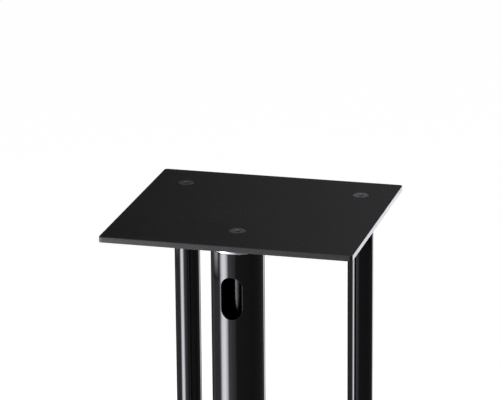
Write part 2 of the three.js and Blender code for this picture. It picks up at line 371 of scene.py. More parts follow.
def start_material(name):
    """A cleared material with its Principled shader shown, and its object coordinates."""
    material = bpy.data.materials.new(name)
    tree = cleared_tree(material)
    shader = add(tree, "ShaderNodeBsdfPrincipled")
    show(tree, shader.outputs[0])
    return material, tree, shader, add(tree, "ShaderNodeTexCoord").outputs["Object"]


def dress(tree, shader, colour, gloss, height, strength, relief):
    """Gives the Principled shader its colour, roughness and relief."""
    tree.links.new(colour, shader.inputs["Base Color"])
    tree.links.new(gloss, shader.inputs["Roughness"])
    bump = add(tree, "ShaderNodeBump", {"Strength": strength, "Distance": relief, "Height": height})
    tree.links.new(bump.outputs[0], shader.inputs["Normal"])


def sprayed_black(
    name, colour, shades, roughness, grain, wear, worn, dust, dust_gloss, strength, relief, ior
):
    """A sprayed black: cloudy colour and gloss, fine grain, a little dust and thin wear on the edges."""
    material, tree, shader, place = start_material(name)
    coat = place_group(tree, coat_grain_group(), place=place, **grain)
    edges = place_group(tree, edge_wear_group(), place=place, **wear)
    clouded = mixed_colour(tree, coat["Cloud"], shaded(colour, shades[0]), shaded(colour, shades[1]))
    dusted = mixed_colour(tree, sum_up(tree, "MULTIPLY", coat["Speck"], dust), clouded, DUST_COLOUR)
    gloss = between(tree, coat["Cloud"], 0.0, 1.0, *roughness)
    gloss = sum_up(tree, "ADD", gloss, sum_up(tree, "MULTIPLY", coat["Speck"], dust_gloss), clamp=True)
    colour = mixed_colour(tree, edges["Mask"], dusted, worn)
    dress(tree, shader, colour, gloss, coat["Height"], strength, relief)
    shader.inputs["IOR"].default_value = ior
    return material


def satin_black_coat():
    """Sprayed satin black on the plates."""
    finish = bpy.context.scene.stand_finishes
    return sprayed_black(
        "satin black coat",
        finish.coat,
        shades=(0.86, 1.12),
        roughness=(finish.coat_roughness - 0.035, finish.coat_roughness + 0.045),
        grain={"grain": 1500.0, "ripple": 240.0, "cloud": 14.0},
        wear={"width": 0.0007, "grain": 700.0, "amount": 0.5},
        worn=(0.16, 0.16, 0.165, 1.0),
        dust=0.05,
        dust_gloss=0.12,
        strength=0.10,
        relief=0.00006,
        ior=1.48,
    )


def gloss_black_paint():
    """High gloss black on the tubes: a mirror surface with faint orange peel and a little haze."""
    finish = bpy.context.scene.stand_finishes
    return sprayed_black(
        "gloss black paint",
        finish.paint,
        shades=(0.9, 1.15),
        roughness=(finish.paint_roughness * 0.7, finish.paint_roughness * 1.35),
        grain={"grain": 1100.0, "ripple": 130.0, "cloud": 11.0},
        wear={"width": 0.0006, "grain": 900.0, "amount": 0.35},
        worn=(0.12, 0.12, 0.125, 1.0),
        dust=0.02,
        dust_gloss=0.08,
        strength=0.05,
        relief=0.00005,
        ior=1.5,
    )


def turned_metal(name, colour, rough, rings, strength, tarnish):
    """Turned bright metal: fine rings in its gloss and height, a cloudy tarnish, and brighter edges."""
    material, tree, shader, place = start_material(name)
    coat = place_group(tree, coat_grain_group(), place=place, grain=2600.0, ripple=400.0, cloud=30.0)
    marks = place_group(tree, turning_group(), place=place, rings=rings)
    edges = place_group(tree, edge_wear_group(), place=place, width=0.0005, grain=1200.0, amount=0.6)
    ringed = mixed_colour(tree, marks["Shade"], shaded(colour, 0.93), opaque(colour))
    cloudy = sum_up(tree, "MULTIPLY", coat["Cloud"], 0.22)
    stained = mixed_colour(tree, cloudy, ringed, shaded(colour, *tarnish))
    gloss = between(tree, coat["Cloud"], 0.0, 1.0, rough * 0.8, rough * 1.3)
    gloss = sum_up(tree, "ADD", gloss, sum_up(tree, "MULTIPLY", marks["Height"], rough * 0.5), clamp=True)
    height = mixed_height(tree, 0.25, marks["Height"], coat["Height"])
    worn = mixed_colour(tree, edges["Mask"], stained, BRIGHT_WEAR)
    dress(tree, shader, worn, gloss, height, strength, 0.00004)
    shader.inputs["Metallic"].default_value = 1.0
    return material


def polished_collar():
    finish = bpy.context.scene.stand_finishes
    tarnish = (0.84,)
    return turned_metal("polished collar", finish.collar, finish.collar_roughness, 9000.0, 0.10, tarnish)


def bright_steel():
    finish = bpy.context.scene.stand_finishes
    tarnish = (0.80, 0.79, 0.78)
    return turned_metal("bright steel", finish.steel, finish.steel_roughness, 6000.0, 0.16, tarnish)


def dark_steel():
    finish = bpy.context.scene.stand_finishes
    tarnish = (0.70, 0.66, 0.62)
    return turned_metal("dark steel", finish.bar, finish.bar_roughness, 2500.0, 0.06, tarnish)


FINISHES = {
    "satin_black_coat": satin_black_coat,
    "gloss_black_paint": gloss_black_paint,
    "polished_collar": polished_collar,
    "bright_steel": bright_steel,
    "dark_steel": dark_steel,
}


# ---- Shaping ----


def start_profile():
    """An empty bmesh with the layer that counts along a turned profile."""
    shape = bmesh.new()
    shape.verts.layers.float.new("turned")
    return shape


def bevel(shape, geom, size, segments, affect="EDGES"):
    """Rounds edges, or the corners of flat faces and wires."""
    bmesh.ops.bevel(
        shape,
        geom=geom,
        offset=size,
        offset_type="OFFSET",
        segments=segments,
        profile=0.5,
        affect=affect,
        clamp_overlap=affect == "EDGES",
        material=-1,
    )


def spin(shape, geom, centre, steps, angle=TURN):
    """Turns wires about a vertical axis through a centre. A full turn is closed."""
    bmesh.ops.spin(
        shape,
        geom=geom,
        cent=(centre[0], centre[1], 0.0),
        axis=(0.0, 0.0, 1.0),
        dvec=(0.0, 0.0, 0.0),
        angle=angle,
        steps=steps,
        use_merge=angle > TURN - 0.001,
        use_duplicate=False,
    )


def only(items, kind):
    """The vertices, edges or faces among what an operator made."""
    return [item for item in items if isinstance(item, kind)]


def open_rim(shape, level, reach=CLOSE):
    """The open edges that lie within a reach of a level."""
    return [
        edge
        for edge in shape.edges
        if edge.is_boundary and all(abs(vert.co.z - level) < reach for vert in edge.verts)
    ]


def off_axis(vert, centre):
    """A vertex's place seen from a vertical axis, and its distance from it."""
    x, y = vert.co.x - centre[0], vert.co.y - centre[1]
    return x, y, math.hypot(x, y)


def near_axis(verts, centre, radius, low=-1.0, high=1.0, beyond=-1.0):
    """The vertices within a radius of a vertical axis, or beyond another too, and between two levels."""
    return [
        vert
        for vert in verts
        if beyond < off_axis(vert, centre)[2] < radius + CLOSE and low < vert.co.z < high
    ]


def count_along(shape, edges, start):
    """Writes each wire vertex's distance along the profile into the layer."""
    layer = shape.verts.layers.float["turned"]
    waiting = set(edges)
    vert, reached = start, 0.0
    vert[layer] = reached
    while True:
        onward = [edge for edge in vert.link_edges if edge in waiting]
        if not onward:
            return
        edge = onward[0]
        waiting.discard(edge)
        reached += edge.calc_length()
        vert = edge.other_vert(vert)
        if vert is start:
            return
        vert[layer] = reached


def spin_profile(shape, profile, steps, centre=(0.0, 0.0), closed=None):
    """Turns a profile of (radius, height, round) points about a vertical axis through a centre.

    A profile that starts on the axis is open and makes a solid, and any other is closed into a ring
    unless closed says otherwise. Returns the vertices it makes.
    """
    before = set(shape.verts)
    if closed is None:
        closed = profile[0][0] > 0
    points = [shape.verts.new((centre[0] + radius, centre[1], height)) for radius, height, _ in profile]
    pairs = list(zip(points, points[1:]))
    if closed:
        pairs.append((points[-1], points[0]))
    for pair in pairs:
        shape.edges.new(pair)
    start = points[0]
    for vert, (_, _, size) in zip(points, profile):
        if size > 0:
            segments = FEW_SEGMENTS if size < WIDE_ROUND else MANY_SEGMENTS
            bevel(shape, [vert], size, segments, affect="VERTICES")
    wire = [vert for vert in shape.verts if vert not in before]
    edges = [edge for edge in shape.edges if edge.is_wire and edge.verts[0] not in before]
    if not start.is_valid:
        start = wire[0]
    count_along(shape, edges, start)
    spin(shape, wire + edges, centre, steps)
    made = [vert for vert in shape.verts if vert not in before]
    bmesh.ops.remove_doubles(shape, verts=made, dist=MERGED)
    return [vert for vert in shape.verts if vert not in before]


def rows(radius, low, high, step):
    """Plain profile points up a straight wall, closely enough for a thread."""
    count = max(2, round(abs(high - low) / step))
    return [(radius, low + (high - low) * index / count, 0.0) for index in range(count + 1)]


def cut_thread(verts, centre, sizes, low, high, run_out):
    """Presses a right-handed thread into the vertices of a cylinder or a bore.

    Its turns are counted from the floor, so a spike's thread meets that of its nut at any height.
    """
    for vert in verts:
        x, y, radius = off_axis(vert, centre)
        phase = (vert.co.z / sizes.thread_pitch - math.atan2(y, x) / TURN) % 1
        groove = 1 - abs(2 * phase - 1)
        fade = min(1.0, max(0.0, (vert.co.z - low) / run_out), max(0.0, (high - vert.co.z) / run_out))
        factor = 1 - sizes.thread_depth * groove * fade / radius
        vert.co.x = centre[0] + x * factor
        vert.co.y = centre[1] + y * factor


def press_to_hexagon(verts, centre, flats):
    """Draws in the vertices that stand out past a hexagon with two of its corners along Y."""
    for vert in verts:
        x, y, radius = off_axis(vert, centre)
        turned_by = (math.atan2(y, x) + TURN / 12) % (TURN / 6) - TURN / 12
        reach = flats / 2 / math.cos(turned_by)
        if radius > reach:
            vert.co.x = centre[0] + x * reach / radius
            vert.co.y = centre[1] + y * reach / radius


def make_object(name, data):
    """A new object, put into the scene."""
    made = bpy.data.objects.new(name, data)
    bpy.context.scene.collection.objects.link(made)
    return made


def make_mesh_object(shape, name, material):
    """A shape as a new object with one material."""
    mesh = bpy.data.meshes.new(name)
    shape.to_mesh(mesh)
    shape.free()
    mesh.materials.append(material)
    return make_object(name, mesh)


def finish_piece(shape, name, finish, body, nodes, crease=40.0, weighted=True):
    """Checks that a shape is closed, shades it smooth but for its creases, and puts it in place of its
    solids.
    """
    loose = [vert for vert in shape.verts if not vert.link_faces]
    bmesh.ops.delete(shape, geom=loose, context="VERTS")
    bmesh.ops.recalc_face_normals(shape, faces=shape.faces[:])
    if any(not edge.is_manifold for edge in shape.edges):
        raise RuntimeError(name + " isn't closed")
    for face in shape.faces:
        face.smooth = True
    for edge in shape.edges:
        edge.smooth = edge.calc_face_angle() < math.radians(crease)
    material = bpy.data.materials.get(finish.replace("_", " ")) or FINISHES[finish]()
    piece = make_mesh_object(shape, name, material)
    if weighted:
        modifier = piece.modifiers.new("Even shading", "WEIGHTED_NORMAL")
        modifier.keep_sharp = True
    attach(piece, body)
    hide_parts(*nodes)
    return piece


# ---- Plates ----


def plate_shape(node, corner, edge_round, holes):
    """A flat plate with rounded corners and edges. Each hole is a function that spins in its wall."""
    low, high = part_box(node)
    shape = start_profile()
    bmesh.ops.create_grid(shape, x_segments=1, y_segments=1, size=0.5)
    bmesh.ops.scale(shape, vec=(high.x - low.x, high.y - low.y, 1.0), verts=shape.verts[:])
    bevel(shape, shape.verts[:], corner, CORNER_SEGMENTS, affect="VERTICES")
    bmesh.ops.translate(shape, verts=shape.verts[:], vec=(0.0, 0.0, high.z))
    lowered = only(bmesh.ops.extrude_face_region(shape, geom=shape.faces[:])["geom"], bmesh.types.BMVert)
    bmesh.ops.translate(shape, verts=lowered, vec=(0.0, 0.0, low.z - high.z))
    flat = [edge for edge in shape.edges if abs(edge.verts[0].co.z - edge.verts[1].co.z) < MERGED]
    bevel(shape, flat, edge_round, 4)
    # The two flat faces go, and are filled in again round the holes' mouths.
    caps = [face for face in shape.faces if len(face.verts) > 8]
    bmesh.ops.delete(shape, geom=caps, context="FACES_ONLY")
    for hole in holes:
        hole(shape)
    for level in (low.z, high.z):
        rim = open_rim(shape, level)
        bmesh.ops.triangle_fill(shape, use_beauty=True, use_dissolve=False, edges=rim, normal=(0.0, 0.0, 1.0))
    return shape


def countersunk_hole(screw, face, back, sizes):
    """The wall of a screw's countersunk hole from a plate's face to its back."""
    inwards = 1 if back > face else -1
    head_face = levels(screw)[0 if back > face else 1]
    land = abs(face - head_face) + sizes.screw_land
    head = breadth(screw) / 2 + FIT_GAP
    shank = sizes.screw_shank / 2 + FIT_GAP
    profile = [
        (head + HOLE_BREAK, face, 0.0),
        (head, face + inwards * HOLE_BREAK, 0.0),
        (head, face + inwards * land, 0.0),
        (shank, face + inwards * (land + head - shank), 0.0),
        (shank, back - inwards * HOLE_BREAK, 0.0),
        (shank + HOLE_BREAK, back, 0.0),
    ]
    return lambda shape: spin_profile(shape, profile, SCREW_SIDES, middle(screw), closed=False)


def tapped_hole(spike, low, high, sizes):
    """The wall of a spike's threaded hole through a plate, its two mouths chamfered."""
    radius = breadth(spike) / 2 + FIT_GAP
    centre = middle(spike)
    wall = rows(radius, low + MOUTH_BREAK, high - MOUTH_BREAK, SPIKE_ROW)
    profile = [(radius + MOUTH_BREAK, low, 0.0), *wall, (radius + MOUTH_BREAK, high, 0.0)]
    thread_low, thread_high = low + MOUTH_BREAK / 2, high - MOUTH_BREAK / 2

    def spin_wall(shape):
        made = spin_profile(shape, profile, BORE_SIDES, centre, closed=False)
        cut_thread(near_axis(made, centre, radius), centre, sizes, thread_low, thread_high, MOUTH_BREAK)

    return spin_wall


class STAND_OT_top_plate(bpy.types.Operator):
    """Makes the coated top plate with its three countersunk holes"""

    bl_idname = "stand.top_plate"
    bl_label = "Top Plate"

    def execute(self, context):
        sizes = context.scene.stand_sizes
        low, high = levels("top_plate")
        holes = [countersunk_hole(f"{column}_top_screw", high, low, sizes) for column in COLUMNS]
        shape = plate_shape("top_plate", sizes.top_corner, sizes.plate_round, holes)
        finish_piece(shape, "coated_top_plate", "satin_black_coat", "frame", ["top_plate"])
        return {"FINISHED"}


class STAND_OT_base_plate(bpy.types.Operator):
    """Makes the coated base plate with its countersunk holes below and its four tapped holes"""

    bl_idname = "stand.base_plate"
    bl_label = "Base Plate"

    def execute(self, context):
        sizes = context.scene.stand_sizes
        low, high = levels("base_plate")
        holes = [countersunk_hole(f"{column}_base_screw", low, high, sizes) for column in COLUMNS]
        holes += [tapped_hole(f"spike_{corner}", low, high, sizes) for corner in CORNERS]
        shape = plate_shape("base_plate", sizes.base_corner, sizes.plate_round, holes)
        finish_piece(shape, "coated_base_plate", "satin_black_coat", "frame", ["base_plate"])
        return {"FINISHED"}


# ---- Columns ----


def draw_to_radius(vert, radius):
    """Moves a vertex straight in or out to a radius about the Z axis."""
    factor = radius / vert.co.xy.length
    vert.co.x *= factor
    vert.co.y *= factor


def draw_to_obround(vert, level, reach, straight, radius):
    """Moves a vertex of the tube's back to the nearest point of an obround round a level."""
    x, z = vert.co.x, vert.co.z - level
    core = max(-straight, min(straight, z))
    factor = reach / math.hypot(x, z - core)
    x *= factor
    vert.co = (x, math.sqrt(radius * radius - x * x), level + core + (z - core) * factor)


def open_slot(shape, level, half_width, half_height, radius):
    """Cuts an obround slot through the tube's skin at +Y. Returns the vertices of the rings round it."""
    straight = half_height - half_width
    patch = []
    for face in shape.faces:
        place = face.calc_center_median()
        beside = abs(place.x) < half_width + SLOT_MARGIN and abs(place.z - level) < half_height + SLOT_MARGIN
        if beside and place.y > 0:
            patch.append(face)
    bmesh.ops.delete(shape, geom=patch, context="FACES")
    rim = open_rim(shape, level, half_height + 2 * SLOT_MARGIN)
    rings = []
    for spare in SLOT_RINGS:
        grown = bmesh.ops.extrude_edge_only(shape, edges=rim)["geom"]
        verts = only(grown, bmesh.types.BMVert)
        rim = [edge for edge in only(grown, bmesh.types.BMEdge) if edge.is_boundary]
        for vert in verts:
            draw_to_obround(vert, level, half_width + spare, straight, radius)
        rings += verts
    return rings


def slotted_tube(low, high, radius, slots, sizes):
    """A tube about the Z axis with obround slots through its wall at +Y.

    Each slot is (level, half width, half height). Its walls run straight along Y.
    """
    shape = bmesh.new()
    heights = {low, high}
    for level, _, half_height in slots:
        reach = half_height + 2 * SLOT_MARGIN
        count = round(2 * reach / SLOT_ROW)
        heights.update(level - reach + 2 * reach * index / count for index in range(count + 1))
    wire = [shape.verts.new((radius, 0.0, height)) for height in sorted(heights)]
    edges = [shape.edges.new(pair) for pair in zip(wire, wire[1:])]
    spin(shape, wire + edges, (0.0, 0.0), TUBE_SIDES)
    bmesh.ops.remove_doubles(shape, verts=shape.verts[:], dist=MERGED)
    square_walls = set()
    for slot in slots:
        square_walls.update(open_slot(shape, *slot, radius))
    bmesh.ops.recalc_face_normals(shape, faces=shape.faces[:])
    if sum(face.calc_center_median().xy.dot(face.normal.xy) for face in shape.faces) < 0:
        bmesh.ops.reverse_faces(shape, faces=shape.faces[:])

    inner = radius - sizes.main_wall
    copied = bmesh.ops.duplicate(shape, geom=shape.verts[:] + shape.edges[:] + shape.faces[:])
    for vert in square_walls:
        twin = copied["vert_map"][vert]
        twin.co.y = math.sqrt(inner * inner - twin.co.x * twin.co.x)
    for vert in only(copied["geom"], bmesh.types.BMVert):
        if vert.co.xy.length > inner + sizes.main_wall / 2:
            draw_to_radius(vert, inner)
    bmesh.ops.reverse_faces(shape, faces=only(copied["geom"], bmesh.types.BMFace))

    for level in (low, high):
        bmesh.ops.bridge_loops(shape, edges=open_rim(shape, level))
    for level, _, half_height in slots:
        bmesh.ops.bridge_loops(shape, edges=open_rim(shape, level, half_height + 1.0 * MM))
    bmesh.ops.recalc_face_normals(shape, faces=shape.faces[:])

    sharp = [edge for edge in shape.edges if edge.calc_face_angle(0.0) > SHARP]
    ends = [edge for edge in sharp if any(abs(edge.verts[0].co.z - level) < CLOSE for level in (low, high))]
    ends = [edge for edge in ends if abs(edge.verts[0].co.z - edge.verts[1].co.z) < CLOSE]
    mouths = [edge for edge in sharp if edge not in set(ends)]
    bevel(shape, ends, sizes.tube_round, FEW_SEGMENTS)
    bevel(shape, mouths, sizes.slot_round, FEW_SEGMENTS)
    for vert in shape.verts:
        for true in (radius, inner):
            if abs(vert.co.xy.length - true) < NEARLY_ROUND:
                draw_to_radius(vert, true)
    return shape


def finish_tube(shape, node, wall):
    """Finishes a tube, and gives its outer and inner wall exactly round shading."""
    piece = finish_piece(
        shape, f"painted_{node}", "gloss_black_paint", "frame", [node], crease=50.0, weighted=False
    )
    centre = middle(node)
    outer = breadth(node) / 2
    inner = outer - wall
    normals = []
    for vert in piece.data.vertices:
        x, y, across = off_axis(vert, centre)
        if abs(across - outer) < CLOSE:
            normals.append((x / across, y / across, 0.0))
        elif abs(across - inner) < CLOSE:
            normals.append((-x / across, -y / across, 0.0))
        else:
            normals.append((0.0, 0.0, 0.0))
    piece.data.normals_split_custom_set_from_vertices(normals)


class STAND_OT_main_column(bpy.types.Operator):
    """Makes the wide painted tube with its two obround slots"""

    bl_idname = "stand.main_column"
    bl_label = "Main Column"

    def execute(self, context):
        sizes = context.scene.stand_sizes
        low, high = levels("main_column")
        upper = levels("top_plate")[1] - sizes.slot_drop
        lower = levels("base_plate")[1] + sizes.slot_rise
        slots = [(level, sizes.slot_width / 2, sizes.slot_height / 2) for level in (upper, lower)]
        shape = slotted_tube(low, high, breadth("main_column") / 2, slots, sizes)
        bmesh.ops.translate(shape, verts=shape.verts[:], vec=(*middle("main_column"), 0.0))
        finish_tube(shape, "main_column", sizes.main_wall)
        return {"FINISHED"}


class STAND_OT_slim_columns(bpy.types.Operator):
    """Makes the two slim painted tubes"""

    bl_idname = "stand.slim_columns"
    bl_label = "Slim Columns"

    def execute(self, context):
        sizes = context.scene.stand_sizes
        for node in ("left_column", "right_column"):
            low, high = levels(node)
            radius = breadth(node) / 2
            inner = radius - sizes.slim_wall
            end = sizes.tube_round
            profile = [
                (inner, low, FINE_BREAK),
                (radius, low, end),
                (radius, high, end),
                (inner, high, FINE_BREAK),
            ]
            shape = start_profile()
            spin_profile(shape, profile, SLIM_SIDES, middle(node))
            finish_tube(shape, node, sizes.slim_wall)
        return {"FINISHED"}


class STAND_OT_collars(bpy.types.Operator):
    """Makes the six polished collars with the spigots that centre the tubes"""

    bl_idname = "stand.collars"
    bl_label = "Collars"

    def execute(self, context):
        sizes = context.scene.stand_sizes
        for column in COLUMNS:
            wall = sizes.main_wall if column == "main" else sizes.slim_wall
            sides = MAIN_SIDES if column == "main" else SLIM_SIDES
            bore = breadth(f"{column}_tie_bar") / 2 + FIT_GAP
            for place in ("top", "bottom"):
                node = f"{column}_{place}_collar"
                low, high = levels(node)
                plate_face, spigot_end, upwards = (high, low, 1) if place == "top" else (low, high, -1)
                seat = plate_face - upwards * sizes.collar_height
                web = plate_face - upwards * sizes.collar_web
                outer = breadth(node) / 2
                spigot = outer - wall - FIT_GAP
                relief = max(bore, spigot - sizes.spigot_wall)
                profile = [
                    (relief, spigot_end, FINE_BREAK),
                    (spigot, spigot_end, MOUTH_BREAK),
                    (spigot, seat, 0.0),
                    (outer, seat, sizes.collar_round),
                    (outer, plate_face, sizes.collar_round),
                    (bore, plate_face, FINE_BREAK),
                ]
                if relief > bore:
                    profile += [(bore, web, WEB_BREAK), (relief, web, WEB_FILLET)]
                shape = start_profile()
                spin_profile(shape, profile, sides, middle(node))
                finish_piece(shape, f"polished_{column}_{place}_collar", "polished_collar", "frame", [node])
        return {"FINISHED"}


class STAND_OT_tie_bars(bpy.types.Operator):
    """Makes the three bars inside the tubes, tapped at both ends"""

    bl_idname = "stand.tie_bars"
    bl_label = "Tie Bars"

    def execute(self, context):
        sizes = context.scene.stand_sizes
        hole = sizes.screw_shank / 2 + FIT_GAP
        depth = sizes.tapped_depth
        point = hole * 0.6
        for column in COLUMNS:
            node = f"{column}_tie_bar"
            low, high = levels(node)
            centre = middle(node)
            radius = breadth(node) / 2
            profile = [
                (0.0, low + depth + point, 0.0),
                *rows(hole, low + depth, low + MOUTH_BREAK, SCREW_ROW),
                (hole + MOUTH_BREAK, low, 0.0),
                (radius, low, MOUTH_BREAK),
                (radius, high, MOUTH_BREAK),
                (hole + MOUTH_BREAK, high, 0.0),
                *rows(hole, high - MOUTH_BREAK, high - depth, SCREW_ROW),
                (0.0, high - depth - point, 0.0),
            ]
            shape = start_profile()
            made = spin_profile(shape, profile, BORE_SIDES, centre)
            half_way = (low + high) / 2
            low_bore = near_axis(made, centre, hole, high=half_way, beyond=hole / 2)
            high_bore = near_axis(made, centre, hole, low=half_way, beyond=hole / 2)
            cut_thread(low_bore, centre, sizes, low, low + depth, RUN_OUT)
            cut_thread(high_bore, centre, sizes, high - depth, high, RUN_OUT)
            finish_piece(shape, f"turned_{column}_tie_bar", "dark_steel", "frame", [node])
        return {"FINISHED"}


# ---- Fasteners and feet ----


def socket_profile(face, inwards, depth, flats):
    """Profile points of a hexagon socket, from its drilled point out to its mouth."""
    floor = face + inwards * depth
    radius = flats / math.sqrt(3)
    return [
        (0.0, floor + inwards * SOCKET_POINT, 0.0),
        (radius * 0.8, floor, 0.0),
        (radius, floor, 0.0),
        (radius, face + inwards * SOCKET_BREAK, 0.0),
        (radius + FINE_BREAK, face, 0.0),
    ]


def press_socket(made, centre, face, inwards, depth, flats):
    """Draws a round socket in to its hexagon."""
    bottom = face + inwards * depth + inwards * CLOSE
    press_to_hexagon(near_axis(made, centre, flats / math.sqrt(3), *sorted((face, bottom))), centre, flats)


class STAND_OT_screws(bpy.types.Operator):
    """Makes the six countersunk screws with their hexagon sockets"""

    bl_idname = "stand.screws"
    bl_label = "Countersunk Screws"

    def execute(self, context):
        sizes = context.scene.stand_sizes
        shank = sizes.screw_shank / 2
        for column in COLUMNS:
            for place in ("top", "base"):
                node = f"{column}_{place}_screw"
                low, high = levels(node)
                centre = middle(node)
                face, end, inwards = (high, low, -1) if place == "top" else (low, high, 1)
                head = breadth(node) / 2
                neck = face + inwards * (sizes.screw_land + head - shank)
                start = neck + inwards * SCREW_NECK
                tip = end - inwards * SCREW_TIP
                profile = [
                    *socket_profile(face, inwards, sizes.socket_depth, sizes.screw_socket),
                    (head, face, sizes.screw_round),
                    (head, face + inwards * sizes.screw_land, 0.0),
                    (shank, neck, 0.0),
                    *rows(shank, start, tip, SCREW_ROW),
                    (shank - SCREW_TIP, end, 0.0),
                    (0.0, end, 0.0),
                ]
                shape = start_profile()
                made = spin_profile(shape, profile, SCREW_SIDES, centre)
                press_socket(made, centre, face, inwards, sizes.socket_depth, sizes.screw_socket)
                thread_low, thread_high = sorted((start, tip))
                shaft = near_axis(made, centre, shank, thread_low, thread_high, beyond=shank - CLOSE)
                cut_thread(shaft, centre, sizes, thread_low, thread_high, SCREW_RUN_OUT)
                finish_piece(shape, f"bright_{column}_{place}_screw", "bright_steel", "frame", [node])
        return {"FINISHED"}


class STAND_OT_spikes(bpy.types.Operator):
    """Makes the four threaded spikes, which turn in the base plate"""

    bl_idname = "stand.spikes"
    bl_label = "Spikes"

    def execute(self, context):
        sizes = context.scene.stand_sizes
        for corner in CORNERS:
            node = f"spike_{corner}"
            low, high = levels(node)
            centre = middle(node)
            radius = breadth(node) / 2
            shoulder = low + sizes.spike_cone
            end = high - sizes.spike_round
            socket = socket_profile(high, -1, sizes.spike_socket_depth, sizes.spike_socket)
            profile = [
                (0.0, low, 0.0),
                (sizes.spike_tip / 2, low, TIP_BREAK),
                (radius - sizes.thread_depth, shoulder, 0.0),
                *rows(radius, shoulder + FINE_BREAK, end, SPIKE_ROW),
                (radius - sizes.spike_round, high, 0.0),
                *reversed(socket),
            ]
            shape = start_profile()
            made = spin_profile(shape, profile, SCREW_SIDES, centre)
            press_socket(made, centre, high, -1, sizes.spike_socket_depth, sizes.spike_socket)
            shaft = near_axis(made, centre, radius, shoulder, high, beyond=radius - CLOSE)
            # The thread keeps its full depth to both ends, so that it meets its nut's at every height.
            cut_thread(shaft, centre, sizes, shoulder - RUN_OUT, end + RUN_OUT, RUN_OUT)
            finish_piece(shape, f"threaded_spike_{corner}", "bright_steel", f"screw_foot_{corner}", [node])
        return {"FINISHED"}


class STAND_OT_lock_nuts(bpy.types.Operator):
    """Makes the four lock nuts under the base plate"""

    bl_idname = "stand.lock_nuts"
    bl_label = "Lock Nuts"

    def execute(self, context):
        sizes = context.scene.stand_sizes
        for corner in CORNERS:
            node = f"lock_nut_{corner}"
            low, high = levels(node)
            centre = middle(node)
            box_low, box_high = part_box(node)
            flats = box_high.x - box_low.x
            bore = breadth(f"spike_{corner}") / 2 + FIT_GAP
            # The corners are chamfered in rows fine enough for the flats to cut them into arcs.
            drop = flats / math.sqrt(3) - flats / 2
            lower = [
                (flats / 2 + drop * index / CROWN_ROWS, low + 0.6 * drop * index / CROWN_ROWS, 0.0)
                for index in range(CROWN_ROWS + 1)
            ]
            profile = [
                (bore + MOUTH_BREAK, low, 0.0),
                *lower,
                *[(radius, low + high - level, 0.0) for radius, level, _ in reversed(lower)],
                (bore + MOUTH_BREAK, high, 0.0),
                *rows(bore, high - MOUTH_BREAK, low + MOUTH_BREAK, SPIKE_ROW),
            ]
            shape = start_profile()
            made = spin_profile(shape, profile, SCREW_SIDES, centre)
            press_to_hexagon(made, centre, flats)
            thread_low, thread_high = low + MOUTH_BREAK / 2, high - MOUTH_BREAK / 2
            wall = near_axis(made, centre, bore, thread_low, thread_high)
            cut_thread(wall, centre, sizes, thread_low, thread_high, MOUTH_BREAK)
            finish_piece(shape, f"bright_lock_nut_{corner}", "bright_steel", "frame", [node], crease=24.0)
        return {"FINISHED"}


class STAND_OT_floor_discs(bpy.types.Operator):
    """Makes the four floor discs with the dimples that take the spikes' tips"""

    bl_idname = "stand.floor_discs"
    bl_label = "Floor Discs"

    def execute(self, context):
        sizes = context.scene.stand_sizes
        for corner in CORNERS:
            node = f"floor_disc_{corner}"
            low, high = levels(node)
            radius = breadth(node) / 2
            floor = high - sizes.dimple_depth
            profile = [
                (0.0, low, 0.0),
                (radius, low, FINE_BREAK),
                (radius, high, sizes.disc_round),
                (sizes.dimple_width / 2, high, DIMPLE_BREAK),
                (sizes.spike_tip / 2 + FIT_GAP, floor, DIMPLE_FILLET),
                (0.0, floor, 0.0),
            ]
            shape = start_profile()
            spin_profile(shape, profile, SLIM_SIDES, middle(node))
            finish_piece(shape, f"turned_floor_disc_{corner}", "bright_steel", f"foot_{corner}", [node])
        return {"FINISHED"}


# ---- Camera, floor and light ----

VIEW_AZIMUTH = math.radians(194.917)
VIEW_ELEVATION = math.radians(17.719)
VIEW_ROLL = math.radians(-0.5036)
VIEW_DISTANCE = 2.84855
VIEW_ASIDE = 4.098 * MM
VIEW_RAISED = -9.709 * MM
VIEW_LENS = 217.017
AIM_HEIGHT = 0.600

FLOOR_RADIUS = 9.0
FLOOR_GLOW = 0.62
MAIN_AXIS = Vector((0.0, 0.062, 0.0))
WHITE = (1.0, 1.0, 1.0, 1.0)

# Each lamp: bearing in degrees, distance, width, the levels of its lower and upper edge
KEY_LAMP = (-64, 0.78, 0.45, 0.02, 0.52)
RIM_LAMP = (135, 1.0, 0.85, 0.02, 0.62)


def level_axes():
    """The level direction from the stand to the camera, and the level direction to the picture's right."""
    towards = Vector((math.sin(VIEW_AZIMUTH), -math.cos(VIEW_AZIMUTH), 0.0))
    right = Vector((0.0, 0.0, 1.0)).cross(towards)
    return towards, right


def bearing(degrees):
    """A level direction turned from the camera's, positive towards the picture's right."""
    towards, right = level_axes()
    angle = math.radians(degrees)
    return towards * math.cos(angle) + right * math.sin(angle)


def place_camera():
    data = bpy.data.cameras.new("View")
    camera = make_object("View", data)
    towards, level_right = level_axes()
    back = towards * math.cos(VIEW_ELEVATION) + Vector((0.0, 0.0, math.sin(VIEW_ELEVATION)))
    level_up = back.cross(level_right)
    right = level_right * math.cos(VIEW_ROLL) + level_up * math.sin(VIEW_ROLL)
    up = level_up * math.cos(VIEW_ROLL) - level_right * math.sin(VIEW_ROLL)
    aim = Vector((0.0, 0.0, AIM_HEIGHT)) - right * VIEW_ASIDE - up * VIEW_RAISED
    turned = Matrix((right, up, back)).transposed()
    camera.matrix_world = Matrix.LocRotScale(aim + back * VIEW_DISTANCE, turned.to_quaternion(), None)
    data.sensor_fit = "HORIZONTAL"
    data.sensor_width = 36.0
    data.lens = VIEW_LENS
    data.clip_start = 0.1
    data.clip_end = 60.0
    bpy.context.scene.camera = camera


